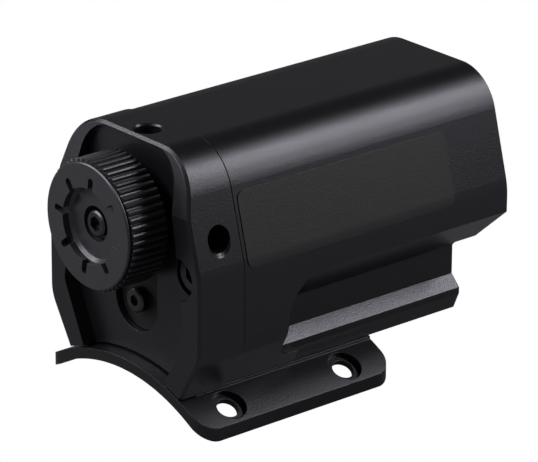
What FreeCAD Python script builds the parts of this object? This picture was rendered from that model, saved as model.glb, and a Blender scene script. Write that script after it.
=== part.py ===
import FreeCAD, Part
import math
import os

os.makedirs("parts", exist_ok=True)

# Compact infrared illuminator on a saddle for a 60 mm tube.
# X runs along the beam with the focus knob at the rear, Y is sideways, Z is up.
# Drawing positions: X = 0 at the rear rim of the cap, Z = 0 at the top of the tube it sits on.

# Saddle plate that takes the tube
seat_r = 30.0
plate_thick = 1.6
plate_half_width = 17.65
plate_length = 35.25
plate_corner_r = 3.0
pad_rise = 0.3
pad_half_width = 12.28
pad_start = 3.0
saddle_hole_angle = 28.35
saddle_hole_rear_x = 6.74
saddle_hole_front_x = 28.03
saddle_hole_r = 1.6
saddle_counterbore_r = 2.55
saddle_counterbore_depth = 0.8

# Outer section shared by the housing and the rear cap
body_length = 57.76
crown_height = 34.58
crown_half_width = 11.94
crown_r = 7.2
flank_lean = 15.2
knee_r = 10.0
body_half_width = 16.42
belly_height = 6.5
belly_lean = 30.8
belly_r = 5.8
section_low = -3.0

# Rear cap and its pocket
cap_length = 8.35
cap_proud = 0.2
cap_chamfer = 0.38
cap_rake_drop = 8.38
cap_rake_run = 1.9
gasket_thick = 0.25
gasket_inset = 0.4
pocket_depth = 2.4
pocket_top_rim = 0.22
pocket_side_top = 2.44
pocket_side_mid = 3.42
pocket_mid_height = 26.0
pocket_side_low = 3.12
pocket_low_height = 9.6
pocket_side_mouth = 3.76
pocket_mouth_height = 0.2
pocket_corner_r = 5.0
pocket_waist_r = 22.0
pocket_hip_r = 2.0

# Focus knob
knob_offset = 1.5
knob_front = 6.18
knob_rear_x = 0.4
knob_face_r = 9.1
knob_neck_r = 8.7
knob_neck_start = 0.35
knob_neck_width = 0.3
knurl_r = 9.45
knurl_depth = 0.42
knurl_teeth = 54
knurl_land = 0.56
knurl_groove = 0.2
dish_r = 5.5
dish_depth = 1.5
dish_fillet = 0.5
grip_slots = 8
grip_slot_width = 1.05
grip_slot_reach = 7.3
grip_slot_depth = 1.0
grip_slot_turn = 7.0
hub_r = 4.5
hub_end = 0.9
knob_bore_floor = 1.4
knob_counterbore_r = 2.6
knob_screw_head_r = 1.9
knob_screw_head = 1.8
knob_screw_rise = 0.12
knob_screw_r = 1.25
knob_screw_length = 7.0
knob_screw_hex = 2.0

# Focus shaft, its bearing and the screw thread that drives the sled
shaft_r = 2.0
shaft_flat = 1.5
shaft_thread_r = 1.95
shaft_spare = 1.0
collar_r = 3.2
collar_thick = 1.0
bush_r = 3.2
boss_r = 5.0
boss_gap = 0.2
spacer_r = 2.6
washer_r = 3.95
washer_thick = 0.85
washer_gap = 0.15

# Slot below the knob and the plate that closes it
slot_half_width = 4.65
slot_low_centre = 9.85
slot_depth = 1.6
cover_thick = 0.6
cover_hole_r = 3.2
cover_screw_head_r = 1.82
cover_screw_head = 1.45
cover_screw_r = 1.0
cover_screw_length = 3.4
cover_screw_hex = 1.5
tail_cavity_r = 6.4

# Cap screws
cap_screw_inset = 4.42
cap_screw_height = 17.3
cap_counterbore_r = 3.15
cap_screw_seat = 5.5
cap_screw_head_r = 2.75
cap_screw_head = 3.0
cap_screw_r = 1.5
cap_screw_length = 12.0
cap_screw_hex = 2.5

# Beam adjusters and the spring plungers opposite them
adjuster_inset = 0.4
adjuster_r = 1.9
adjuster_length = 4.0
side_adjuster_length = 6.0
adjuster_nose_r = 1.1
adjuster_nose = 0.8
adjuster_hex = 2.0
mouth_chamfer = 0.25
side_mouth = -0.15
side_mouth_reach = 1.0
plunger_inset = 1.4
plunger_r = 1.6
plunger_length = 3.2
plunger_wall = 0.45
plunger_nose = 0.7
plunger_bore_depth = 5.6
spring_r = 0.85
spring_wire = 0.3
spring_turns = 4
spring_play = 0.5

# Emitter barrel on the optical axis
optic_height = 21.5
main_bore_room = 1.15
barrel_r = 9.15
barrel_wall = 0.95
barrel_gap = 0.25
barrel_back_wall = 2.4
head_step = 1.15
head_length = 2.5
head_wall = 0.95
lens_seat_depth = 2.0
lens_edge = 1.2
lens_bulge = 2.4
lens_ring_thick = 0.7
lens_ring_wall = 1.05

# Focus sled inside the barrel
sled_offset = 5.4
sled_length = 12.0
sled_disc = 6.0
sled_recess_r = 6.5
sled_travel = 4.0
nut_r = 3.5
nut_flange_r = 4.6
nut_flange = 0.8
guide_pin_inset = 4.0
guide_pin_r = 0.75
guide_pin_length = 3.6
led_board_inset = 0.54
led_board_thick = 1.2
led_side = 3.5
led_base = 0.7
led_dome_r = 1.5

# Gimbal near the front and the sleeve that carries it
gimbal_depth = 7.5
gimbal_width = 4.0
gimbal_gap = 0.2
gimbal_wall = 1.0
gimbal_head_gap = 0.4
gimbal_pin_r = 0.6
sleeve_wall = 0.92
sleeve_length = 13.5
sleeve_setback = 0.26
window_depth = 2.1
window_rim = 0.47
window_thick = 1.2
window_seal_thick = 0.3
window_seal_wall = 0.35
window_ring_wall = 1.1
ring_notch = 1.2

# Rail grooves, the foot between them and the nose
groove_start = 16.4
groove_top = 14.3
groove_ceiling_r = 6.5
groove_floor = 1.8
groove_floor_r = 2.4
groove_end_r = 2.4
groove_drop = 4.3
web_half_width = 9.3
web_top = 8.0
ledge_top = 3.5
ledge_bottom = 1.8
foot_half_width = 10.94
foot_land = 0.87
foot_tip_half_width = 9.95
groove_root_r = 0.6
nose_length = 4.0
nose_underside = 8.52
nose_chamfer = 0.1

# Electronics bay in the web
bay_half_width = 7.7
bay_floor = 3.6
bay_top = 12.0
bay_end_gap = 0.2
bay_ledge_half_width = 6.2
bay_ledge_start = 29.5
board_start = 30.0
board_length = 20.0
board_thick = 1.0
board_height = 5.4
chip_size = 5.0
chip_height = 1.0
coil_size = 5.0
coil_height = 3.0
capacitor_r = 1.8
capacitor_height = 3.2
boss_screw_rear_x = 12.5
boss_screw_front_x = 26.0
base_screw_r = 1.5
base_screw_head_r = 2.75
base_screw_head = 1.5
base_screw_recess = 0.15
base_screw_length = 7.5
base_boss_r = 3.1
base_boss_top = 9.0
base_boss_roof = 0.8

# Contact block under the foot
contact_plate_gap = 2.75
contact_length = 12.0
contact_half_width = 5.0
contact_recess = 0.1
contact_top = 2.4
contact_pitch = 3.2
contact_pin_r = 0.7
contact_count = 3

# Label panel on the near flank
label_gap = 0.65
label_end = 47.4
label_low = 17.8
label_high = 28.4
label_thick = 0.12
label_corner_r = 1.2

# Clearances between pieces
running_gap = 0.03
slide_gap = 0.06
screw_gap = 0.05
drop_in_gap = 0.1
adjuster_gap = 0.05
cut_margin = 5.0

# Places and radii that follow from the sizes above
sleeve_end = body_length - sleeve_setback
window_seat_x = sleeve_end - window_depth
gimbal_x = sleeve_end - gimbal_depth
main_bore_end = sleeve_end - sleeve_length
head_start = gimbal_x + gimbal_width / 2 + gimbal_head_gap
main_bore_r = barrel_r + main_bore_room
barrel_bore_r = barrel_r - barrel_wall
head_r = barrel_r + head_step
lens_seat_r = head_r - head_wall
gimbal_inner_r = barrel_r + gimbal_gap
gimbal_outer_r = gimbal_inner_r + gimbal_wall
sleeve_inner_r = gimbal_outer_r + gimbal_gap
sleeve_r = sleeve_inner_r + sleeve_wall
window_recess_r = sleeve_r - window_rim
barrel_start = cap_length + barrel_gap
sled_start = barrel_start + sled_offset
guide_pin_x = sled_start + guide_pin_inset
shaft_end = sled_start + sled_disc + sled_travel + shaft_spare
led_board_r = barrel_bore_r - slide_gap - led_board_inset
knob_height = optic_height + knob_offset
cover_screw_height = slot_low_centre
cap_screw_y = body_half_width - cap_screw_inset
crown_outer = crown_height + cap_proud
cap_rake_height = crown_outer - cap_rake_drop
slot_floor = pocket_depth + slot_depth
boss_start = slot_floor + boss_gap
adjuster_x = boss_start + adjuster_inset
plunger_x = boss_start + plunger_inset
label_start = cap_length + label_gap
groove_drop_x = groove_start + groove_drop
contact_start = plate_length + contact_plate_gap
bay_end = board_start + board_length + bay_end_gap

X_AXIS = FreeCAD.Vector(1, 0, 0)
Y_AXIS = FreeCAD.Vector(0, 1, 0)
Z_AXIS = FreeCAD.Vector(0, 0, 1)

seat_edge_drop = seat_r - math.sqrt(seat_r ** 2 - plate_half_width ** 2)
frame_shift = FreeCAD.Vector((knob_front - body_length) / 2, 0, seat_edge_drop)


def save(name, shape):
    placed = shape.copy()
    placed.translate(frame_shift)
    placed.exportStep("parts/" + name + ".step")


def point(plane, at, a, b):
    if plane == "yz":
        return FreeCAD.Vector(at, a, b)
    if plane == "xz":
        return FreeCAD.Vector(a, at, b)
    return FreeCAD.Vector(a, b, at)


def corner_arc(before, corner, after):
    # Start, middle and end of the arc that rounds one corner
    radius = corner[2]
    here = FreeCAD.Vector(corner[0], corner[1], 0)
    if radius <= 0:
        return here, None, here
    back = (FreeCAD.Vector(before[0], before[1], 0) - here).normalize()
    ahead = (FreeCAD.Vector(after[0], after[1], 0) - here).normalize()
    half = back.getAngle(ahead) / 2
    inward = (back + ahead).normalize()
    trim = radius / math.tan(half)
    centre = here + inward * (radius / math.sin(half))
    return here + back * trim, centre - inward * radius, here + ahead * trim


def outline(corners, plane, at):
    count = len(corners)
    arcs = [corner_arc(corners[i - 1], corners[i], corners[(i + 1) % count]) for i in range(count)]
    edges = []
    for i in range(count):
        start, middle, end = arcs[i]
        if middle is not None:
            edges.append(Part.Arc(
                point(plane, at, start.x, start.y),
                point(plane, at, middle.x, middle.y),
                point(plane, at, end.x, end.y)).toShape())
        following = arcs[(i + 1) % count][0]
        if (following - end).Length > 1e-5:
            edges.append(Part.makeLine(
                point(plane, at, end.x, end.y),
                point(plane, at, following.x, following.y)))
    return Part.Wire(edges)


def slab(corners, plane, start, end):
    face = Part.Face(outline(corners, plane, start))
    reach = end - start
    if plane == "yz":
        return face.extrude(X_AXIS * reach)
    if plane == "xz":
        return face.extrude(Y_AXIS * reach)
    return face.extrude(Z_AXIS * reach)


def block(x0, x1, y0, y1, z0, z1):
    return Part.makeBox(x1 - x0, y1 - y0, z1 - z0, FreeCAD.Vector(x0, y0, z0))


def rod_x(x0, x1, radius, y, z):
    return Part.makeCylinder(radius, x1 - x0, FreeCAD.Vector(x0, y, z), X_AXIS)


def rod_y(y0, y1, radius, x, z):
    return Part.makeCylinder(radius, y1 - y0, FreeCAD.Vector(x, y0, z), Y_AXIS)


def rod_z(z0, z1, radius, x, y):
    return Part.makeCylinder(radius, z1 - z0, FreeCAD.Vector(x, y, z0), Z_AXIS)


def turned(profile, z):
    # Profile of (x, radius) pairs spun about the X direction at height z
    corners = [(a, b, 0) for a, b in profile]
    solid = Part.Face(outline(corners, "xz", 0)).revolve(FreeCAD.Vector(0, 0, 0), X_AXIS, 360)
    solid.translate(FreeCAD.Vector(0, 0, z))
    return solid


def tube_x(x0, x1, outer, inner, z):
    return turned([(x0, inner), (x1, inner), (x1, outer), (x0, outer)], z)


def stadium(half_width, low, high, x0, x1):
    r = half_width
    corners = [(-r, low - r, r), (r, low - r, r), (r, high + r, r), (-r, high + r, r)]
    return slab(corners, "yz", x0, x1)


def hexagon(across, depth, x, y, z):
    # Hex socket that opens toward the rear
    reach = across / math.sqrt(3)
    angles = [math.radians(60 * i + 30) for i in range(6)]
    corners = [(y + reach * math.cos(a), z + reach * math.sin(a), 0) for a in angles]
    return slab(corners, "yz", x, x + depth)


def both_sides(shape):
    return [shape, shape.mirror(FreeCAD.Vector(0, 0, 0), Y_AXIS)]


def section(grow):
    # Closed outline of the housing, moved outward by grow
    lean = math.radians(flank_lean)
    under = math.radians(belly_lean)
    crown_y = crown_half_width + grow / math.cos(lean) - grow * math.tan(lean)
    flank_shift = crown_half_width + grow / math.cos(lean)
    knee_z = crown_height - (body_half_width + grow - flank_shift) / math.tan(lean)
    belly_z = belly_height + (grow - grow / math.cos(under)) / math.tan(under)
    low_y = body_half_width + grow / math.cos(under) - (belly_height - section_low) * math.tan(under)
    right = [
        (crown_y, crown_height + grow, crown_r + grow),
        (body_half_width + grow, knee_z, knee_r + grow),
        (body_half_width + grow, belly_z, belly_r + grow),
        (low_y, section_low, 0),
    ]
    left = [(-y, z, r) for y, z, r in reversed(right)]
    return right + left


def flank_at(z):
    return crown_half_width + (crown_height - z) * math.tan(math.radians(flank_lean))


def belly_at(z):
    return body_half_width - (belly_height - z) * math.tan(math.radians(belly_lean))


def tube_space(radius, x0, x1):
    return rod_x(x0, x1, radius, 0, -seat_r)


plate_r = seat_r + plate_thick
pad_r = plate_r + pad_rise
nose_start = body_length - nose_length
gasket_back = cap_length - gasket_thick

# Saddle plate: a curved shell with a raised pad, radial screw holes and countersinks
plan_edge = [
    (0, -plate_half_width, plate_corner_r),
    (plate_length, -plate_half_width, plate_corner_r),
    (plate_length, plate_half_width, plate_corner_r),
    (0, plate_half_width, plate_corner_r),
]
plan = slab(plan_edge, "xy", -seat_r, plate_thick + cut_margin)
saddle = tube_space(plate_r, 0, plate_length).common(plan)
pad = tube_space(pad_r, pad_start, plate_length)
pad = pad.common(block(pad_start, plate_length, -pad_half_width, pad_half_width, -seat_r / 2, seat_r))
saddle = saddle.fuse(pad).removeSplitter()
saddle = saddle.cut(tube_space(seat_r, -cut_margin, plate_length + cut_margin))
saddle_holes = []
for hole_x in (saddle_hole_rear_x, saddle_hole_front_x):
    for side in (-1, 1):
        tilt = math.radians(side * saddle_hole_angle)
        outward = FreeCAD.Vector(0, math.sin(tilt), math.cos(tilt))
        centre = FreeCAD.Vector(hole_x, 0, -seat_r)
        drill = Part.makeCylinder(saddle_hole_r, plate_r + cut_margin, centre, outward)
        seat_level = plate_r - saddle_counterbore_depth
        mouth = Part.makeCylinder(saddle_counterbore_r, cut_margin, centre + outward * seat_level, outward)
        saddle_holes.append(drill)
        saddle_holes.append(mouth)
saddle = saddle.cut(saddle_holes)
base_screw_top = base_screw_recess + base_screw_head
for screw_x in (boss_screw_rear_x, boss_screw_front_x):
    countersink = Part.makeCone(
        base_screw_head_r + screw_gap, base_screw_r + screw_gap, base_screw_head,
        FreeCAD.Vector(screw_x, 0, base_screw_recess), Z_AXIS)
    saddle = saddle.cut([
        countersink,
        rod_z(-cut_margin, base_screw_recess, base_screw_head_r + screw_gap, screw_x, 0),
        rod_z(0, plate_thick + cut_margin, base_screw_r + screw_gap, screw_x, 0),
    ])
save("saddle_base", saddle)

# Main housing: extruded section, rail grooves under the flanks, foot and nose
housing = slab(section(0), "yz", cap_length, body_length)
nose_edges = [edge for edge in housing.Edges if edge.CenterOfMass.x > body_length - 1e-4]
housing = housing.makeChamfer(nose_chamfer, nose_edges)
housing = housing.cut([
    tube_space(pad_r, 0, plate_length + drop_in_gap),
    tube_space(seat_r, plate_length, body_length + cut_margin),
    block(nose_start, body_length + cut_margin, -2 * seat_r, 2 * seat_r, -seat_r, nose_underside),
])
ceiling_rise = (groove_top - web_top) / (body_half_width - web_half_width)
outer_y = body_half_width + cut_margin
land_lean = (foot_half_width - foot_tip_half_width) / math.sqrt(2)
groove_section = [
    (web_half_width, web_top, groove_root_r),
    (outer_y, web_top + ceiling_rise * (outer_y - web_half_width), 0),
    (outer_y, -seat_r, 0),
    (foot_tip_half_width - land_lean, -seat_r, 0),
    (foot_tip_half_width - land_lean, section_low, 0),
    (foot_half_width, foot_land, 0),
    (foot_half_width, ledge_bottom, 0),
    (web_half_width, ledge_top, 0),
]
groove_side = [
    (groove_start, groove_top, groove_ceiling_r),
    (body_length + cut_margin, groove_top, 0),
    (body_length + cut_margin, -seat_r, 0),
    (groove_drop_x, -seat_r, 0),
    (groove_drop_x, groove_floor, 0),
    (groove_start, groove_floor, groove_floor_r),
]
groove = slab(groove_section, "yz", groove_start - cut_margin, body_length + cut_margin)
groove = groove.common(slab(groove_side, "xz", 0, 2 * body_half_width))
groove_plan = [
    (groove_start, web_half_width, groove_end_r),
    (body_length + cut_margin, web_half_width, 0),
    (body_length + cut_margin, 2 * body_half_width, 0),
    (groove_start, 2 * body_half_width, 0),
]
groove = groove.common(slab(groove_plan, "xy", -2 * seat_r, 2 * groove_top))
housing = housing.cut(both_sides(groove))

# Inside the housing: stepped bore, electronics bay with board ledges and screw bosses
bay = block(cap_length - cut_margin, bay_end, -bay_half_width, bay_half_width, board_height, bay_top)
low_bay = block(
    cap_length - cut_margin, bay_end, -bay_ledge_half_width, bay_ledge_half_width,
    bay_floor, board_height)
wide_bay = block(
    cap_length - cut_margin, bay_ledge_start, -bay_half_width, bay_half_width,
    bay_floor, board_height)
main_bore = rod_x(cap_length - cut_margin, main_bore_end, main_bore_r, 0, optic_height)
sleeve_bore_r = sleeve_r + running_gap
sleeve_bore = rod_x(main_bore_end, body_length + cut_margin, sleeve_bore_r, 0, optic_height)
housing = housing.cut([bay, low_bay, wide_bay, main_bore, sleeve_bore])
bosses = [rod_z(bay_floor - base_boss_roof, base_boss_top, base_boss_r, x, 0)
          for x in (boss_screw_rear_x, boss_screw_front_x)]
housing = housing.fuse(bosses).removeSplitter()
screw_tip = base_screw_recess + base_screw_length
drill_top = min(base_boss_top - base_boss_roof, screw_tip + base_boss_roof)
housing = housing.cut([rod_z(0, drill_top, base_screw_r + screw_gap, x, 0)
                       for x in (boss_screw_rear_x, boss_screw_front_x)])
cap_screw_tip = cap_screw_seat + cap_screw_length
housing = housing.cut([
    rod_x(cap_length - cut_margin, cap_screw_tip + base_boss_roof, cap_screw_r + screw_gap,
          side * cap_screw_y, cap_screw_height)
    for side in (-1, 1)])

# Contact block seat under the foot, with one hole per pin through the bay floor
contact_end = contact_start + contact_length
contact_mid = (contact_start + contact_end) / 2
pin_places = [contact_mid + contact_pitch * (i - (contact_count - 1) / 2) for i in range(contact_count)]
housing = housing.cut([
    block(contact_start, contact_end, -contact_half_width, contact_half_width, -seat_r, contact_top)])
housing = housing.cut([
    rod_z(0, board_height, contact_pin_r + screw_gap, x, 0) for x in pin_places])
save("main_housing", housing)

# Base screws rise through the plate into the bosses
base_screw_profile = [
    (0, 0, 0),
    (base_screw_head_r, 0, 0),
    (base_screw_r, base_screw_head, 0),
    (base_screw_r, base_screw_length, 0),
    (0, base_screw_length, 0),
]
base_hex = [(2 / math.sqrt(3) * math.cos(math.radians(60 * i)),
             2 / math.sqrt(3) * math.sin(math.radians(60 * i)), 0) for i in range(6)]
base_screw = Part.Face(outline(base_screw_profile, "xz", 0))
base_screw = base_screw.revolve(FreeCAD.Vector(0, 0, 0), Z_AXIS, 360)
base_screw = base_screw.cut(slab(base_hex, "xy", 0, 1.0))
for name, screw_x in (("base_screw_rear", boss_screw_rear_x), ("base_screw_front", boss_screw_front_x)):
    screw = base_screw.copy()
    screw.translate(FreeCAD.Vector(screw_x, 0, base_screw_recess))
    save(name, screw)

# Contact block and its pins
contact_block = block(
    contact_start + drop_in_gap, contact_end - drop_in_gap,
    -contact_half_width + drop_in_gap, contact_half_width - drop_in_gap,
    contact_recess, contact_top)
contact_block = contact_block.makeChamfer(
    mouth_chamfer, [edge for edge in contact_block.Edges if edge.BoundBox.ZMax < contact_recess + 1e-4])
contact_block = contact_block.cut([
    rod_z(-cut_margin, contact_top + cut_margin, contact_pin_r, x, 0) for x in pin_places])
save("contact_block", contact_block)
for i, pin_x in enumerate(pin_places):
    save("contact_pin_" + str(i + 1), rod_z(0, board_height, contact_pin_r, pin_x, 0))

# Driver board on its ledges with the tall parts
board_top = board_height + board_thick
board_half_width = bay_half_width - drop_in_gap
board = block(board_start, board_start + board_length, -board_half_width, board_half_width,
              board_height, board_top)
save("driver_board", board)
part_gap = (board_length - chip_size - coil_size - 2 * capacitor_r) / 4
chip_x = board_start + part_gap
chip = block(chip_x, chip_x + chip_size, -chip_size / 2, chip_size / 2, board_top, board_top + chip_height)
save("driver_chip", chip)
coil_x = chip_x + chip_size + part_gap
coil_half = coil_size / 2
coil = slab([(coil_x, -coil_half, 1), (coil_x + coil_size, -coil_half, 1),
             (coil_x + coil_size, coil_half, 1), (coil_x, coil_half, 1)],
            "xy", board_top, board_top + coil_height)
save("power_inductor", coil)
capacitor_x = coil_x + coil_size + part_gap + capacitor_r
capacitor = rod_z(board_top, board_top + capacitor_height, capacitor_r, capacitor_x, 0)
save("capacitor", capacitor)

# Rear cap: the same section a little proud, its face leaning forward toward the crown
rake_slope = cap_rake_run / cap_rake_drop
cap = slab(section(cap_proud), "yz", 0, gasket_back)
cap = cap.cut(slab([
    (-cut_margin, cap_rake_height, 0),
    (0, cap_rake_height, 0),
    (rake_slope * (cap_rake_drop + cut_margin), crown_outer + cut_margin, 0),
    (-cut_margin, crown_outer + cut_margin, 0)], "xz", -2 * body_half_width, 2 * body_half_width))
rim_edges = [edge for edge in cap.Edges
             if edge.BoundBox.XMax < cap_rake_run + 1e-4
             and not (edge.BoundBox.ZLength < 1e-4 and edge.CenterOfMass.z < cap_rake_height + 1e-4)]
cap = cap.makeChamfer(cap_chamfer, rim_edges)
cap = cap.cut(tube_space(pad_r, -cut_margin, cap_length + cut_margin))
pocket_half_top = crown_half_width - pocket_side_top
pocket_half_mid = flank_at(pocket_mid_height) - pocket_side_mid
pocket_half_low = body_half_width - pocket_side_low
pocket_half_mouth = belly_at(pocket_mouth_height) - pocket_side_mouth
mouth_lean = (pocket_half_low - pocket_half_mouth) / (pocket_low_height - pocket_mouth_height)
pocket_right = [
    (pocket_half_top, crown_height - pocket_top_rim, pocket_corner_r),
    (pocket_half_mid, pocket_mid_height, pocket_waist_r),
    (pocket_half_low, pocket_low_height, pocket_hip_r),
    (pocket_half_mouth - mouth_lean * cut_margin, pocket_mouth_height - cut_margin, 0),
]
pocket = pocket_right + [(-y, z, r) for y, z, r in reversed(pocket_right)]
cap = cap.cut([
    slab(pocket, "yz", -cut_margin, pocket_depth),
    stadium(slot_half_width, slot_low_centre, knob_height, 0, slot_floor),
    rod_x(slot_floor, cap_length, tail_cavity_r, 0, knob_height),
])
for side in (-1, 1):
    cap = cap.cut([
        rod_x(-cut_margin, cap_screw_seat, cap_counterbore_r, side * cap_screw_y, cap_screw_height),
        rod_x(0, cap_length, cap_screw_r + drop_in_gap, side * cap_screw_y, cap_screw_height),
    ])
cover_screw_tip = slot_floor - cover_thick + cover_screw_length
cap = cap.cut(rod_x(slot_floor - cover_thick, cover_screw_tip + slide_gap,
                    cover_screw_r + screw_gap, 0, cover_screw_height))

# Adjuster holes from the top and from the near side, plunger bores opposite
adjuster_hole_r = adjuster_r + adjuster_gap
flank_outer = body_half_width + cap_proud
side_wall = flank_at(knob_height) + cap_proud
top_mouth = Part.makeCone(
    adjuster_hole_r, adjuster_hole_r + mouth_chamfer, mouth_chamfer,
    FreeCAD.Vector(adjuster_x, 0, crown_outer - mouth_chamfer), Z_AXIS)
side_mouth_cut = Part.makeCone(
    adjuster_hole_r, adjuster_hole_r + side_mouth_reach, side_mouth_reach,
    FreeCAD.Vector(adjuster_x, -side_wall + side_mouth, knob_height), -Y_AXIS)
cap = cap.cut([
    rod_z(knob_height, crown_outer + cut_margin, adjuster_hole_r, adjuster_x, 0),
    rod_y(-flank_outer - cut_margin, 0, adjuster_hole_r, adjuster_x, knob_height),
    top_mouth,
    side_mouth_cut,
])
plunger_bore_r = plunger_r + slide_gap
plunger_floor = tail_cavity_r + plunger_bore_depth
cap = cap.cut([
    rod_y(0, plunger_floor, plunger_bore_r, plunger_x, knob_height),
    rod_z(knob_height - plunger_floor, knob_height, plunger_bore_r, plunger_x, 0),
])
save("rear_cap", cap)

# Gasket in the seam between cap and housing
gasket = slab(section(-gasket_inset), "yz", gasket_back, cap_length)
gasket = gasket.cut([
    tube_space(pad_r + gasket_inset, 0, body_length),
    rod_x(0, body_length, main_bore_r, 0, optic_height),
    block(0, body_length, -bay_half_width, bay_half_width, bay_floor, bay_top),
])
gasket = gasket.cut([rod_x(0, body_length, cap_screw_r + drop_in_gap, side * cap_screw_y, cap_screw_height)
                     for side in (-1, 1)])
save("cap_gasket", gasket)

# Socket screws that hold the cap
head_front = cap_screw_seat - cap_screw_head
head_edge = 0.3
for name, side in (("cap_screw_left", 1), ("cap_screw_right", -1)):
    screw = turned([
        (head_front, 0),
        (head_front, cap_screw_head_r - head_edge),
        (head_front + head_edge, cap_screw_head_r),
        (cap_screw_seat, cap_screw_head_r),
        (cap_screw_seat, cap_screw_r),
        (cap_screw_tip, cap_screw_r),
        (cap_screw_tip, 0)], cap_screw_height)
    screw.translate(FreeCAD.Vector(0, side * cap_screw_y, 0))
    screw = screw.cut(hexagon(cap_screw_hex, cap_screw_head / 2, head_front, side * cap_screw_y,
                              cap_screw_height))
    save(name, screw)

# Cover plate at the bottom of the slot and its low-head screw
cover_front = slot_floor - cover_thick
cover = stadium(slot_half_width - drop_in_gap, slot_low_centre, knob_height, cover_front, slot_floor)
cover = cover.cut([
    rod_x(0, cap_length, cover_hole_r, 0, knob_height),
    rod_x(0, cap_length, cover_screw_r + screw_gap, 0, cover_screw_height),
])
save("slot_cover", cover)
cover_head = cover_front - cover_screw_head
cover_edge = 0.25
cover_screw = turned([
    (cover_head, 0),
    (cover_head, cover_screw_head_r - cover_edge),
    (cover_head + cover_edge, cover_screw_head_r),
    (cover_front, cover_screw_head_r),
    (cover_front, cover_screw_r),
    (cover_screw_tip, cover_screw_r),
    (cover_screw_tip, 0)], cover_screw_height)
cover_screw = cover_screw.cut(hexagon(cover_screw_hex, cover_screw_head / 2, cover_head, 0,
                                      cover_screw_height))
save("cover_screw", cover_screw)

# Focus knob: dished face with radial grip slots, a neck line and a straight knurl
knob_face = -knob_front
neck_x = knob_face + knob_neck_start
knurl_x = neck_x + knob_neck_width
core = turned([
    (knob_face, 0),
    (knob_face, knob_face_r - knob_neck_start / 2),
    (knob_face + knob_neck_start / 2, knob_face_r),
    (neck_x, knob_face_r),
    (neck_x, knob_neck_r),
    (knob_rear_x, knob_neck_r),
    (knob_rear_x, hub_r),
    (hub_end, hub_r),
    (hub_end, 0)], knob_height)
tooth_angle = 2 * math.pi / knurl_teeth
land_angle = knurl_land / knurl_r
groove_angle = knurl_groove / knurl_r
knurl_points = []
for i in range(knurl_teeth):
    middle = i * tooth_angle
    for turn, radius in (
            (-land_angle / 2, knurl_r),
            (land_angle / 2, knurl_r),
            ((tooth_angle - groove_angle) / 2, knurl_r - knurl_depth),
            ((tooth_angle + groove_angle) / 2, knurl_r - knurl_depth)):
        angle = middle + turn
        knurl_points.append((radius * math.cos(angle), knob_height + radius * math.sin(angle), 0))
knurl = slab(knurl_points, "yz", knurl_x, knob_rear_x)
knob = core.fuse(knurl)
dish_floor = knob_face + dish_depth
knob_screw_front = dish_floor - knob_screw_rise
knob_screw_seat = knob_screw_front + knob_screw_head
dish = turned([
    (knob_face - cut_margin, 0),
    (knob_face - cut_margin, dish_r),
    (dish_floor - dish_fillet, dish_r),
    (dish_floor, dish_r - dish_fillet),
    (dish_floor, 0)], knob_height)
slot_end_r = grip_slot_width / 2
slots = []
for i in range(grip_slots):
    bar = slab([
        (0, -slot_end_r, 0),
        (grip_slot_reach, -slot_end_r, slot_end_r),
        (grip_slot_reach, slot_end_r, slot_end_r),
        (0, slot_end_r, 0)], "yz", knob_face - cut_margin, knob_face + grip_slot_depth)
    bar.rotate(FreeCAD.Vector(0, 0, 0), X_AXIS, grip_slot_turn + 360 / grip_slots * i)
    bar.translate(FreeCAD.Vector(0, 0, knob_height))
    slots.append(bar)
knob = knob.cut([dish] + slots)
shaft_hole = rod_x(-knob_bore_floor, hub_end + cut_margin, shaft_r + running_gap, 0, knob_height)
flat_z = knob_height + shaft_flat
shaft_hole = shaft_hole.cut(block(-knob_bore_floor, hub_end, -shaft_r, shaft_r, flat_z + running_gap,
                                  flat_z + shaft_r))
knob = knob.cut([
    rod_x(knob_face, knob_screw_seat, knob_counterbore_r, 0, knob_height),
    rod_x(knob_face, 0, knob_screw_r + screw_gap, 0, knob_height),
    shaft_hole,
])
save("focus_knob", knob)
knob_screw_tip = knob_screw_seat + knob_screw_length
knob_screw = turned([
    (knob_screw_front, 0),
    (knob_screw_front, knob_screw_head_r - cover_edge),
    (knob_screw_front + cover_edge, knob_screw_head_r),
    (knob_screw_seat, knob_screw_head_r),
    (knob_screw_seat, knob_screw_r),
    (knob_screw_tip, knob_screw_r),
    (knob_screw_tip, 0)], knob_height)
knob_screw = knob_screw.cut(hexagon(knob_screw_hex, knob_screw_head * 0.6, knob_screw_front, 0,
                                    knob_height))
save("knob_screw", knob_screw)

# Emitter barrel: tube with a lens head in front and an offset bearing boss behind
bore_start = barrel_start + barrel_back_wall
head_end = head_start + head_length
lens_seat = head_end - lens_seat_depth
barrel = turned([
    (barrel_start, 0),
    (barrel_start, barrel_r),
    (head_start, barrel_r),
    (head_start, head_r),
    (head_end, head_r),
    (head_end, lens_seat_r),
    (lens_seat, lens_seat_r),
    (lens_seat, barrel_bore_r),
    (bore_start, barrel_bore_r),
    (bore_start, 0)], optic_height)
barrel = barrel.fuse(rod_x(boss_start, barrel_start + barrel_back_wall / 2, boss_r, 0, knob_height))
barrel = barrel.removeSplitter()
guide_gap = guide_pin_r + running_gap
guide_slot = slab([
    (guide_pin_x - guide_gap - slide_gap, -guide_gap, guide_gap),
    (guide_pin_x + sled_travel + guide_gap + slide_gap, -guide_gap, guide_gap),
    (guide_pin_x + sled_travel + guide_gap + slide_gap, guide_gap, guide_gap),
    (guide_pin_x - guide_gap - slide_gap, guide_gap, guide_gap)],
    "xy", optic_height - barrel_r - cut_margin, optic_height)
barrel = barrel.cut([
    rod_x(0, bore_start + cut_margin, bush_r, 0, knob_height),
    guide_slot,
    rod_y(-head_r, head_r, gimbal_pin_r + running_gap, gimbal_x, optic_height),
])
save("emitter_barrel", barrel)

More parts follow.
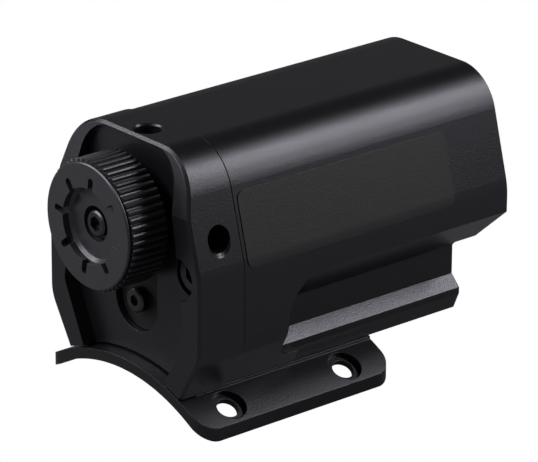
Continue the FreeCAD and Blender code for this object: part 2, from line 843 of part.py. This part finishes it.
# Bearing bush, shaft with collar, spacer and dust washer
save("shaft_bush", tube_x(boss_start, bore_start, bush_r, shaft_r + running_gap, knob_height))
collar_start = bore_start + slide_gap
collar_end = collar_start + collar_thick
shaft = turned([
    (-knob_bore_floor, 0),
    (-knob_bore_floor, shaft_r),
    (collar_start, shaft_r),
    (collar_start, collar_r),
    (collar_end, collar_r),
    (collar_end, shaft_thread_r),
    (shaft_end, shaft_thread_r),
    (shaft_end, 0)], knob_height)
shaft = shaft.cut([
    block(-knob_bore_floor, hub_end, -shaft_r, shaft_r, flat_z, flat_z + shaft_r),
    rod_x(-knob_bore_floor, knob_screw_tip + screw_gap, knob_screw_r + screw_gap, 0, knob_height),
])
save("focus_shaft", shaft)
spacer_end = boss_start - slide_gap
save("shaft_spacer", tube_x(hub_end, spacer_end, spacer_r, shaft_r + running_gap, knob_height))
washer_back = cover_front - washer_gap
save("dust_washer", tube_x(washer_back - washer_thick, washer_back, washer_r, spacer_r, knob_height))

# Focus sled, its nut, guide pin and emitter
sled_r = barrel_bore_r - slide_gap
sled_front = sled_start + sled_length
disc_end = sled_start + sled_disc
sled = turned([
    (sled_start, 0),
    (sled_start, sled_r),
    (sled_front, sled_r),
    (sled_front, sled_recess_r),
    (disc_end, sled_recess_r),
    (disc_end, 0)], optic_height)
pin_top = optic_height - barrel_r + guide_pin_length + slide_gap
sled = sled.cut([
    rod_x(0, sled_front, nut_r, 0, knob_height),
    rod_z(0, pin_top, guide_pin_r, guide_pin_x, 0),
])
save("focus_sled", sled)
nut = turned([
    (sled_start - nut_flange, shaft_thread_r + screw_gap),
    (sled_start - nut_flange, nut_flange_r),
    (sled_start, nut_flange_r),
    (sled_start, nut_r),
    (disc_end, nut_r),
    (disc_end, shaft_thread_r + screw_gap)], knob_height)
save("lead_nut", nut)
save("guide_pin", rod_z(pin_top - guide_pin_length, pin_top, guide_pin_r, guide_pin_x, 0))
led_back = sled_front + led_board_thick
save("led_board", rod_x(sled_front, led_back, led_board_r, 0, optic_height))
led_half = led_side / 2
led = block(led_back, led_back + led_base, -led_half, led_half, optic_height - led_half,
            optic_height + led_half)
dome = Part.makeSphere(led_dome_r, FreeCAD.Vector(led_back + led_base, 0, optic_height))
dome = dome.common(block(led_back, led_back + cut_margin, -led_half, led_half,
                         optic_height - led_half, optic_height + led_half))
save("led_emitter", led.fuse(dome).removeSplitter())

# Lens with a domed back and its threaded ring
lens_r = lens_seat_r - running_gap
lens_front = lens_seat + lens_edge
dome_r = barrel_bore_r - slide_gap
bulge_tip = point("xz", 0, lens_seat - lens_bulge, 0)
ball_r = (dome_r ** 2 + lens_bulge ** 2) / (2 * lens_bulge)
half_angle = math.asin(dome_r / ball_r) / 2
bulge_middle = point("xz", 0, lens_seat - lens_bulge + ball_r * (1 - math.cos(half_angle)),
                     ball_r * math.sin(half_angle))
lens_rim = [(lens_seat, dome_r), (lens_seat, lens_r), (lens_front, lens_r), (lens_front, 0)]
rim_points = [point("xz", 0, a, b) for a, b in lens_rim]
lens_edges = [Part.Arc(bulge_tip, bulge_middle, rim_points[0]).toShape()]
lens_edges += [Part.makeLine(a, b) for a, b in zip(rim_points, rim_points[1:] + [bulge_tip])]
lens = Part.Face(Part.Wire(lens_edges)).revolve(FreeCAD.Vector(0, 0, 0), X_AXIS, 360)
lens.translate(FreeCAD.Vector(0, 0, optic_height))
save("lens", lens)
save("lens_ring", tube_x(lens_front, lens_front + lens_ring_thick, lens_r, lens_seat_r - lens_ring_wall,
                         optic_height))

# Gimbal: ring on upright pins in the sleeve, barrel on level pins in the ring
gimbal_start = gimbal_x - gimbal_width / 2
gimbal_end = gimbal_x + gimbal_width / 2
ring = tube_x(gimbal_start, gimbal_end, gimbal_outer_r, gimbal_inner_r, optic_height)
ring = ring.cut([
    rod_z(optic_height - head_r - 1, optic_height + head_r + 1, gimbal_pin_r + running_gap, gimbal_x, 0),
    rod_y(-head_r - 1, head_r + 1, gimbal_pin_r, gimbal_x, optic_height),
])
save("gimbal_ring", ring)
level_in = barrel_bore_r + slide_gap
save("pitch_pin_left", rod_y(level_in, gimbal_outer_r, gimbal_pin_r, gimbal_x, optic_height))
save("pitch_pin_right", rod_y(-gimbal_outer_r, -level_in, gimbal_pin_r, gimbal_x, optic_height))
upright_in = gimbal_inner_r + slide_gap
upright_out = sleeve_r - slide_gap
save("yaw_pin_upper", rod_z(optic_height + upright_in, optic_height + upright_out, gimbal_pin_r, gimbal_x, 0))
save("yaw_pin_lower", rod_z(optic_height - upright_out, optic_height - upright_in, gimbal_pin_r, gimbal_x, 0))

# Front sleeve with the window, its seal and its ring
sleeve = turned([
    (main_bore_end, sleeve_inner_r),
    (main_bore_end, sleeve_r),
    (sleeve_end, sleeve_r),
    (sleeve_end, window_recess_r),
    (window_seat_x, window_recess_r),
    (window_seat_x, sleeve_inner_r)], optic_height)
sleeve = sleeve.cut(rod_z(optic_height - sleeve_r - 1, optic_height + sleeve_r + 1, gimbal_pin_r, gimbal_x, 0))
save("front_sleeve", sleeve)
window_r = window_recess_r - slide_gap
window_back = window_seat_x + window_seal_thick
window_front = window_back + window_thick
save("window_seal", tube_x(window_seat_x, window_back, window_r, window_r - window_seal_wall, optic_height))
save("front_window", rod_x(window_back, window_front, window_r, 0, optic_height))
retainer = tube_x(window_front, sleeve_end, window_r, window_r - window_ring_wall, optic_height)
retainer = retainer.cut(block(window_front, sleeve_end, -window_recess_r, window_recess_r,
                              optic_height - ring_notch / 2, optic_height + ring_notch / 2).cut(
    rod_x(window_front, sleeve_end, window_r - window_ring_wall / 2, 0, optic_height)))
save("window_ring", retainer)


def adjuster(length):
    # Grub screw along +X with its nose at the origin and a socket in its far end
    body = turned([
        (0, 0),
        (0, adjuster_nose_r),
        (adjuster_nose, adjuster_nose_r),
        (adjuster_nose, adjuster_r),
        (length, adjuster_r),
        (length, 0)], 0)
    return body.cut(hexagon(adjuster_hex, length / 2, length / 2, 0, 0))


# Adjusters bear on the boss from above and from the near side
origin = FreeCAD.Vector(0, 0, 0)
tip_gap = adjuster_gap
top_adjuster = adjuster(adjuster_length)
top_adjuster.rotate(origin, Y_AXIS, -90)
top_adjuster.translate(FreeCAD.Vector(adjuster_x, 0, knob_height + boss_r + tip_gap))
save("top_adjuster", top_adjuster)
side_adjuster = adjuster(side_adjuster_length)
side_adjuster.rotate(origin, Z_AXIS, -90)
side_adjuster.translate(FreeCAD.Vector(adjuster_x, -boss_r - tip_gap, knob_height))
save("side_adjuster", side_adjuster)

# Spring plungers push back from below and from the far side
plunger = turned([
    (0, 0),
    (0, plunger_r - plunger_nose / 2),
    (plunger_nose / 2, plunger_r),
    (plunger_length, plunger_r),
    (plunger_length, plunger_r - plunger_wall),
    (plunger_nose, plunger_r - plunger_wall),
    (plunger_nose, 0)], 0)
spring_start = plunger_nose + spring_play
spring_length = plunger_floor - boss_r - tip_gap - spring_start
spring_rise = spring_length - spring_wire
helix = Part.makeHelix(spring_rise / spring_turns, spring_rise, spring_r)
wire_half = spring_wire / 2
wire_corners = [(spring_r - wire_half, -wire_half, 0), (spring_r + wire_half, -wire_half, 0),
                (spring_r + wire_half, wire_half, 0), (spring_r - wire_half, wire_half, 0)]
spring = Part.Wire(helix.Edges).makePipeShell([outline(wire_corners, "xz", 0)], True, True)
spring.rotate(origin, Y_AXIS, 90)
spring.translate(X_AXIS * (spring_start + wire_half))
for kind, axis, angle, away in (
        ("elevation", Y_AXIS, 90, -Z_AXIS), ("windage", Z_AXIS, 90, Y_AXIS)):
    reach = away * (boss_r + tip_gap)
    place = FreeCAD.Vector(plunger_x, reach.y, knob_height + reach.z)
    for name, shape in ((kind + "_plunger", plunger), (kind + "_spring", spring)):
        piece = shape.copy()
        piece.rotate(origin, axis, angle)
        piece.translate(place)
        save(name, piece)

# Blank label panel laid on the near flank
label = slab(section(label_thick), "yz", label_start, label_end)
label = label.cut(slab(section(0), "yz", label_start - 1, label_end + 1))
label_edge = [
    (label_start, label_low, label_corner_r),
    (label_end, label_low, label_corner_r),
    (label_end, label_high, label_corner_r),
    (label_start, label_high, label_corner_r),
]
label = label.common(slab(label_edge, "xz", -2 * body_half_width, 0))
save("side_label", label)
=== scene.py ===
import bmesh
import bpy
import math
from mathutils import Euler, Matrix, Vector


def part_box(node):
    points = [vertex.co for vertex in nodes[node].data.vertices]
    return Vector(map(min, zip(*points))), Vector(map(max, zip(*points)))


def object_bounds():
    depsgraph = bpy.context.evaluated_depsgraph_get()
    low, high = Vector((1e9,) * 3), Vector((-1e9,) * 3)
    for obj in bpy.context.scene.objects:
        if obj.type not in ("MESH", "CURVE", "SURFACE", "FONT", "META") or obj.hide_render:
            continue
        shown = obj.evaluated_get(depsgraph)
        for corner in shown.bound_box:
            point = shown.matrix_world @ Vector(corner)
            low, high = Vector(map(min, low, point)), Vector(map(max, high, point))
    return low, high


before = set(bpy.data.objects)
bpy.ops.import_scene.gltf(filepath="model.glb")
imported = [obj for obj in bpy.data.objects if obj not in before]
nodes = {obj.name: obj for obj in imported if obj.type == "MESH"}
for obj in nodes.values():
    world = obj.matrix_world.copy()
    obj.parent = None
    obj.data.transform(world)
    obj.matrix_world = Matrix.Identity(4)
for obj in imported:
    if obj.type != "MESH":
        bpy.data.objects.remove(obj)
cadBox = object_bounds()
scene = bpy.context.scene
mm = 0.001
roughSwing = 0.03  # how far the cloudy patches move a roughness each way
bevelSamples = 6


def srgb(hexCode):
    # sRGB hex colour as linear RGBA
    values = [int(hexCode[i:i + 2], 16) / 255 for i in (1, 3, 5)]
    return [v / 12.92 if v <= 0.04045 else ((v + 0.055) / 1.055) ** 2.4 for v in values] + [1.0]


def addNode(tree, kind, **inputs):
    # New shader node; at0, at1 ... name its sockets by number, other words a socket or a setting
    node = tree.nodes.new(kind)
    for key, value in inputs.items():
        if key[:2] == "at" and key[2:].isdigit():
            socket = node.inputs[int(key[2:])]
        else:
            socket = node.inputs.get(key.replace("_", " "))
        if socket is None:
            setattr(node, key, value)
        elif isinstance(value, bpy.types.NodeSocket):
            tree.links.new(value, socket)
        else:
            socket.default_value = value
    return node


def knurlHeight(tree, place, turned, height, depth):
    # Lathe rings about an axis along X, and a ridge on each tooth beyond a radius
    apart = addNode(tree, "ShaderNodeSeparateXYZ", Vector=place)
    rise = addNode(tree, "ShaderNodeMath", operation="SUBTRACT", at0=apart.outputs["Z"],
                   at1=turned["axis"])
    flat = addNode(tree, "ShaderNodeCombineXYZ", X=apart.outputs["Y"], Y=rise.outputs[0])
    radius = addNode(tree, "ShaderNodeVectorMath", operation="LENGTH", at0=flat.outputs[0])
    turns = addNode(tree, "ShaderNodeMath", operation="MULTIPLY", at0=radius.outputs["Value"],
                    at1=2 * math.pi / (turned["pitch"] * mm))
    ring = addNode(tree, "ShaderNodeMath", operation="SINE", at0=turns.outputs[0])
    height = addNode(tree, "ShaderNodeMath", operation="MULTIPLY_ADD", at0=ring.outputs[0],
                     at1=turned["ringDepth"] / depth, at2=height).outputs[0]
    if turned["teeth"] == 0:
        return height
    angle = addNode(tree, "ShaderNodeMath", operation="ARCTAN2", at0=rise.outputs[0],
                    at1=apart.outputs["Y"])
    count = addNode(tree, "ShaderNodeMath", operation="MULTIPLY", at0=angle.outputs[0],
                    at1=turned["teeth"] / (2 * math.pi))
    valley = addNode(tree, "ShaderNodeMath", operation="PINGPONG", at0=count.outputs[0], at1=0.5)
    rim = addNode(tree, "ShaderNodeMath", operation="GREATER_THAN", at0=radius.outputs["Value"],
                  at1=turned["beyond"] * mm)
    cut = addNode(tree, "ShaderNodeMath", operation="MULTIPLY", at0=valley.outputs[0],
                  at1=rim.outputs[0])
    return addNode(tree, "ShaderNodeMath", operation="MULTIPLY_ADD", at0=cut.outputs[0],
                   at1=-turned["ridge"] / depth, at2=height).outputs[0]


def makeFinish(name, look, turned=None, **shader):
    # Cloudy colour and roughness, fine grain and softened edges; cloud, grain, depth, edge in mm
    material = bpy.data.materials.new(name)
    material.use_nodes = True
    tree = material.node_tree
    tree.nodes.clear()
    place = addNode(tree, "ShaderNodeTexCoord").outputs["Object"]
    cloud = addNode(tree, "ShaderNodeTexNoise", Vector=place, Scale=1 / (look["cloud"] * mm),
                    Detail=3.0)
    colour = addNode(tree, "ShaderNodeMix", data_type="RGBA", at0=cloud.outputs[0],
                     at6=srgb(look["dark"]), at7=srgb(look["light"]))
    rough = addNode(tree, "ShaderNodeMapRange", Value=cloud.outputs[0],
                    To_Min=look["rough"] - roughSwing, To_Max=look["rough"] + roughSwing)
    grain = addNode(tree, "ShaderNodeTexNoise", Vector=place, Scale=1 / (look["grain"] * mm),
                    Detail=1.0)
    height = grain.outputs[0]
    if turned:
        height = knurlHeight(tree, place, turned, height, look["depth"])
    soft = addNode(tree, "ShaderNodeBevel", Radius=look["edge"] * mm, samples=bevelSamples)
    bump = addNode(tree, "ShaderNodeBump", Strength=1.0, Distance=look["depth"] * mm, Height=height,
                   Normal=soft.outputs["Normal"])
    surface = addNode(tree, "ShaderNodeBsdfPrincipled", Base_Color=colour.outputs[2],
                      Roughness=rough.outputs["Result"], Normal=bump.outputs["Normal"], **shader)
    addNode(tree, "ShaderNodeOutputMaterial", Surface=surface.outputs["BSDF"])
    return material


def middleHeight(node):
    low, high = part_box(node)
    return (low.z + high.z) / 2


print("stage: materials")
# Dyed oxide, faintly violet where it shines
anodisedFilm = {"IOR": 1.6, "Specular_Tint": srgb("#f3f1ff")}
thinFilm = {"IOR": 1.53, "Specular_Tint": srgb("#f3f1ff")}

# Aluminium, bead blasted and black anodised: satin black, with a sparkle coarser than the real
# grit, so that it shows
housingLook = {"dark": "#141416", "light": "#18181b", "rough": 0.32,
               "cloud": 9.0, "grain": 0.2, "depth": 0.022, "edge": 0.12}
housingMetal = makeFinish("blastedAnodisedAluminium", housingLook, **anodisedFilm)

# The bent plate of the same stock under a thinner oxide, which shines a little less
plateLook = {"dark": "#121215", "light": "#18181b", "rough": 0.32,
             "cloud": 6.0, "grain": 0.2, "depth": 0.022, "edge": 0.12}
plateMetal = makeFinish("blastedAnodisedPlate", plateLook, **thinFilm)

# Aluminium, turned and anodised a shade greyer: faint lathe rings and sharp ridges on the knurl
knobLook = {"dark": "#303032", "light": "#38383b", "rough": 0.34,
            "cloud": 4.0, "grain": 0.12, "depth": 0.004, "edge": 0.05}
knobTurned = {"axis": middleHeight("focus_knob"), "pitch": 0.22, "ringDepth": 0.003,
              "teeth": 54, "ridge": 0.58, "beyond": 9.25}
knobMetal = makeFinish("turnedAnodisedKnob", knobLook, knobTurned, **anodisedFilm)

# Turned and anodised sleeve and rings: finer rings, as dark as the housing
sleeveLook = {"dark": "#161618", "light": "#1b1b1e", "rough": 0.34,
              "cloud": 4.0, "grain": 0.12, "depth": 0.004, "edge": 0.08}
sleeveTurned = {"axis": middleHeight("front_window"), "pitch": 0.2, "ringDepth": 0.002, "teeth": 0}
sleeveMetal = makeFinish("turnedAnodisedSleeve", sleeveLook, sleeveTurned, **anodisedFilm)

# Steel plate in matt black paint, coloured darker still as painted shade for the depth of the slot:
# no shine there
coverShadeLook = {"dark": "#08080a", "light": "#0e0e10", "rough": 0.6,
             "cloud": 3.6, "grain": 0.3, "depth": 0.006, "edge": 0.08}
coverPaintAndShade = makeFinish("mattSteelWithPaintedShade", coverShadeLook)

# Alloy steel screws, forged and black oxided: an oily dark grey metal
screwLook = {"dark": "#4e4e50", "light": "#5c5b5c", "rough": 0.38,
             "cloud": 2.4, "grain": 0.2, "depth": 0.004, "edge": 0.07}
oxideSteel = makeFinish("blackOxideSteel", screwLook, Metallic=1.0)

# Hardened steel pins, shafts and springs, ground bright
pinLook = {"dark": "#9c9c9e", "light": "#b4b4b6", "rough": 0.28,
           "cloud": 1.8, "grain": 0.15, "depth": 0.002, "edge": 0.05}
groundSteel = makeFinish("groundSteel", pinLook, Metallic=1.0)

# Aluminium left bare after milling: pale, with a soft satin shine
bareLook = {"dark": "#b4b6b8", "light": "#c6c8ca", "rough": 0.32,
            "cloud": 2.4, "grain": 0.2, "depth": 0.002, "edge": 0.06}
bareAluminium = makeFinish("milledAluminium", bareLook, Metallic=1.0)

# Bearing bronze, turned: warm brown yellow
bronzeLook = {"dark": "#9a7038", "light": "#b08445", "rough": 0.3,
              "cloud": 2.4, "grain": 0.2, "depth": 0.002, "edge": 0.05}
turnedBronze = makeFinish("turnedBronze", bronzeLook, Metallic=1.0)

# Nitrile rubber, moulded: matt, almost without a highlight
rubberLook = {"dark": "#0e0e0e", "light": "#161616", "rough": 0.7,
              "cloud": 3.0, "grain": 0.25, "depth": 0.006, "edge": 0.05}
sealRubber = makeFinish("mouldedNitrileRubber", rubberLook, IOR=1.52)

# Polyester film, satin and stuck down: flatter and a little lighter than the metal round it
labelLook = {"dark": "#1d1d20", "light": "#222225", "rough": 0.42,
             "cloud": 3.6, "grain": 0.3, "depth": 0.018, "edge": 0.03}
labelFilm = makeFinish("satinPolyesterFilm", labelLook, IOR=1.57)

# Glass epoxy board under green solder mask: glossy over a woven base
boardLook = {"dark": "#0c3a1e", "light": "#124a28", "rough": 0.3,
             "cloud": 4.8, "grain": 0.4, "depth": 0.004, "edge": 0.05}
boardMask = makeFinish("greenSolderMask", boardLook, IOR=1.55)

# Filled epoxy, transfer moulded: dark grey and evenly matt
resinLook = {"dark": "#141415", "light": "#1c1c1d", "rough": 0.55,
             "cloud": 1.8, "grain": 0.15, "depth": 0.005, "edge": 0.06}
mouldedResin = makeFinish("mouldedEpoxy", resinLook, IOR=1.55)

# Deep drawn aluminium can: bright, with soft streaks
canLook = {"dark": "#a8a9ab", "light": "#bcbdbf", "rough": 0.25,
           "cloud": 2.4, "grain": 0.2, "depth": 0.002, "edge": 0.08}
drawnCan = makeFinish("drawnAluminiumCan", canLook, Metallic=1.0)

# Brass pins, gold plated: smooth pale yellow
goldLook = {"dark": "#caa24a", "light": "#dcb65c", "rough": 0.22,
            "cloud": 1.8, "grain": 0.15, "depth": 0.001, "edge": 0.05}
platedGold = makeFinish("goldPlatedBrass", goldLook, Metallic=1.0)

# Silicone dome over the emitter, cast: milky yellow
domeLook = {"dark": "#d8cf9a", "light": "#e6deb0", "rough": 0.15,
            "cloud": 3.6, "grain": 0.3, "depth": 0.002, "edge": 0.03}
emitterSilicone = makeFinish("castSilicone", domeLook, Transmission_Weight=0.4, IOR=1.41)

# Optical glass, polished and clear
lensLook = {"dark": "#e8eef0", "light": "#f2f6f8", "rough": 0.06,
            "cloud": 24.0, "grain": 2.0, "depth": 0.0005, "edge": 0.03}
lensGlass = makeFinish("polishedOpticalGlass", lensLook, Transmission_Weight=1.0, IOR=1.5)

# Filter glass, polished: near black from outside, deep red where light comes through
filterLook = {"dark": "#4a1216", "light": "#581820", "rough": 0.05,
              "cloud": 24.0, "grain": 2.0, "depth": 0.0005, "edge": 0.03}
filterGlass = makeFinish("polishedFilterGlass", filterLook, Transmission_Weight=0.85, IOR=1.52)

finishes = {
    housingMetal: ["main_housing", "rear_cap"],
    plateMetal: ["saddle_base"],
    # The slot cover's near black colour is partly its paint and partly painted shade for the slot's
    # depth
    coverPaintAndShade: ["slot_cover"],
    knobMetal: ["focus_knob"],
    sleeveMetal: ["front_sleeve", "window_ring", "lens_ring"],
    oxideSteel: ["cap_screw_left", "cap_screw_right", "cover_screw", "knob_screw",
                 "base_screw_rear", "base_screw_front", "top_adjuster", "side_adjuster"],
    groundSteel: ["elevation_plunger", "windage_plunger", "elevation_spring", "windage_spring",
                  "focus_shaft", "shaft_spacer", "guide_pin", "pitch_pin_left", "pitch_pin_right",
                  "yaw_pin_upper", "yaw_pin_lower", "gimbal_ring"],
    bareAluminium: ["emitter_barrel", "focus_sled", "led_board"],
    turnedBronze: ["shaft_bush", "lead_nut"],
    sealRubber: ["window_seal", "cap_gasket", "dust_washer"],
    labelFilm: ["side_label"],
    boardMask: ["driver_board"],
    mouldedResin: ["driver_chip", "power_inductor", "contact_block"],
    drawnCan: ["capacitor"],
    platedGold: ["contact_pin_1", "contact_pin_2", "contact_pin_3"],
    emitterSilicone: ["led_emitter"],
    lensGlass: ["lens"],
    filterGlass: ["front_window"],
}
for material, names in finishes.items():
    for name in names:
        mesh = nodes[name].data
        mesh.materials.clear()
        mesh.materials.append(material)

print("stage: camera")
cameraPlace = {"azimuth": -39.65, "elevation": 21.505, "at": (-361.82, -423.78, 239.82),
               "lens": 281.47, "sensor": 36, "shiftX": 0.1151, "shiftY": -0.0032,
               "nearest": 0.01, "farthest": 50}
camera = bpy.data.objects.new("photoCamera", bpy.data.cameras.new("photoCamera"))
scene.collection.objects.link(camera)
scene.camera = camera
camera.location = Vector(cameraPlace["at"]) * mm
camera.rotation_euler = Euler((math.radians(90 - cameraPlace["elevation"]), 0,
                               math.radians(cameraPlace["azimuth"])))
camera.data.sensor_width = cameraPlace["sensor"]
camera.data.lens = cameraPlace["lens"]
camera.data.shift_x = cameraPlace["shiftX"]
camera.data.shift_y = cameraPlace["shiftY"]
camera.data.clip_start = cameraPlace["nearest"]
camera.data.clip_end = cameraPlace["farthest"]

print("stage: lights")
middle = (cadBox[0] + cadBox[1]) / 2
toCamera = (camera.location - middle).normalized()


def softbox(name, direction, distance, width, height, power):
    data = bpy.data.lights.new(name, "AREA")
    data.shape = "RECTANGLE"
    data.size = width
    data.size_y = height
    data.energy = power
    lamp = bpy.data.objects.new(name, data)
    scene.collection.objects.link(lamp)
    away = Vector(direction).normalized()
    lamp.location = middle + away * distance
    lamp.rotation_euler = away.to_track_quat("Z", "Y").to_euler()


# Lean of the crown in degrees: distance in m and power in W of the strip that it mirrors to the
# camera. They are nearer and weaker down the near side, so the shine fades into the flank.
crownStrips = {39: (0.9, 0.36), 46: (0.9, 1.35), 54: (0.6, 0.48), 62: (0.3, 0.075),
               68: (0.3, 0.025)}
stripShape = {"wide": 3, "high": 7}  # a strip's distance over its width and its height
for lean, (distance, power) in crownStrips.items():
    slope = Vector((0, -math.sin(math.radians(lean)), math.cos(math.radians(lean))))
    mirrored = 2 * toCamera.dot(slope) * slope - toCamera
    softbox("crownStrip" + str(lean), mirrored, distance, distance / stripShape["wide"],
            distance / stripShape["high"], power)

# Direction, distance, width and height in m, and power in W
roomBoxes = {
    "backWall": ((0.59, 0.75, 0.25), 1.2, 1.2, 0.3, 0.16),
    "rearBox": ((-0.75, 0.25, 0.62), 0.9, 0.4, 0.3, 3.4),
    "rearTop": ((-0.40, 0.64, 0.63), 0.9, 0.34, 0.3, 2.4),
    "rearLow": ((-0.60, 0.76, 0.16), 0.9, 0.5, 0.24, 0.85),
    "cameraFill": ((-0.9, -0.45, 0.35), 1.0, 0.5, 0.5, 0.18),
}
for name, box in roomBoxes.items():
    softbox(name, *box)


def backdrop(tree, lit, seen, glossShare):
    # Camera and glass see the white backdrop; gloss sees a share of it over the lit one
    path = addNode(tree, "ShaderNodeLightPath")
    gloss = addNode(tree, "ShaderNodeMath", operation="MULTIPLY_ADD",
                    at0=path.outputs["Is Glossy Ray"], at1=glossShare,
                    at2=path.outputs["Is Camera Ray"])
    share = addNode(tree, "ShaderNodeMath", operation="ADD", use_clamp=True, at0=gloss.outputs[0],
                    at1=path.outputs["Is Transmission Ray"])
    mix = addNode(tree, "ShaderNodeMixShader", at0=share.outputs[0], at1=lit.outputs[0],
                  at2=seen.outputs[0])
    return mix.outputs[0]


print("stage: studio")
studio = {"roomLevel": 0.03, "roomGloss": 0.01, "floorGloss": 0.06, "floorHalf": 4.0}
world = bpy.data.worlds.new("paleStudio")
scene.world = world
world.use_nodes = True
sky = world.node_tree
sky.nodes.clear()
room = addNode(sky, "ShaderNodeBackground", Color=srgb("#d4d4de"), Strength=studio["roomLevel"])
white = addNode(sky, "ShaderNodeBackground", Color=srgb("#ffffff"), Strength=1.0)
addNode(sky, "ShaderNodeOutputWorld", Surface=backdrop(sky, room, white, studio["roomGloss"]))
scene.view_settings.view_transform = "Standard"

floorMesh = bpy.data.meshes.new("studioFloor")
floorShape = bmesh.new()
bmesh.ops.create_grid(floorShape, x_segments=1, y_segments=1, size=studio["floorHalf"])
floorShape.to_mesh(floorMesh)
floorShape.free()
floor = bpy.data.objects.new("studioFloor", floorMesh)
scene.collection.objects.link(floor)
floorPaint = bpy.data.materials.new("paleFloorPaint")
floorPaint.use_nodes = True
floorPaint.cycles.emission_sampling = "NONE"
paint = floorPaint.node_tree
paint.nodes.clear()
matt = addNode(paint, "ShaderNodeBsdfDiffuse", Color=srgb("#7c7c82"))
glow = addNode(paint, "ShaderNodeEmission", Color=srgb("#ffffff"), Strength=1.0)
addNode(paint, "ShaderNodeOutputMaterial",
        Surface=backdrop(paint, matt, glow, studio["floorGloss"]))
floorMesh.materials.append(floorPaint)

print("stage: finish")
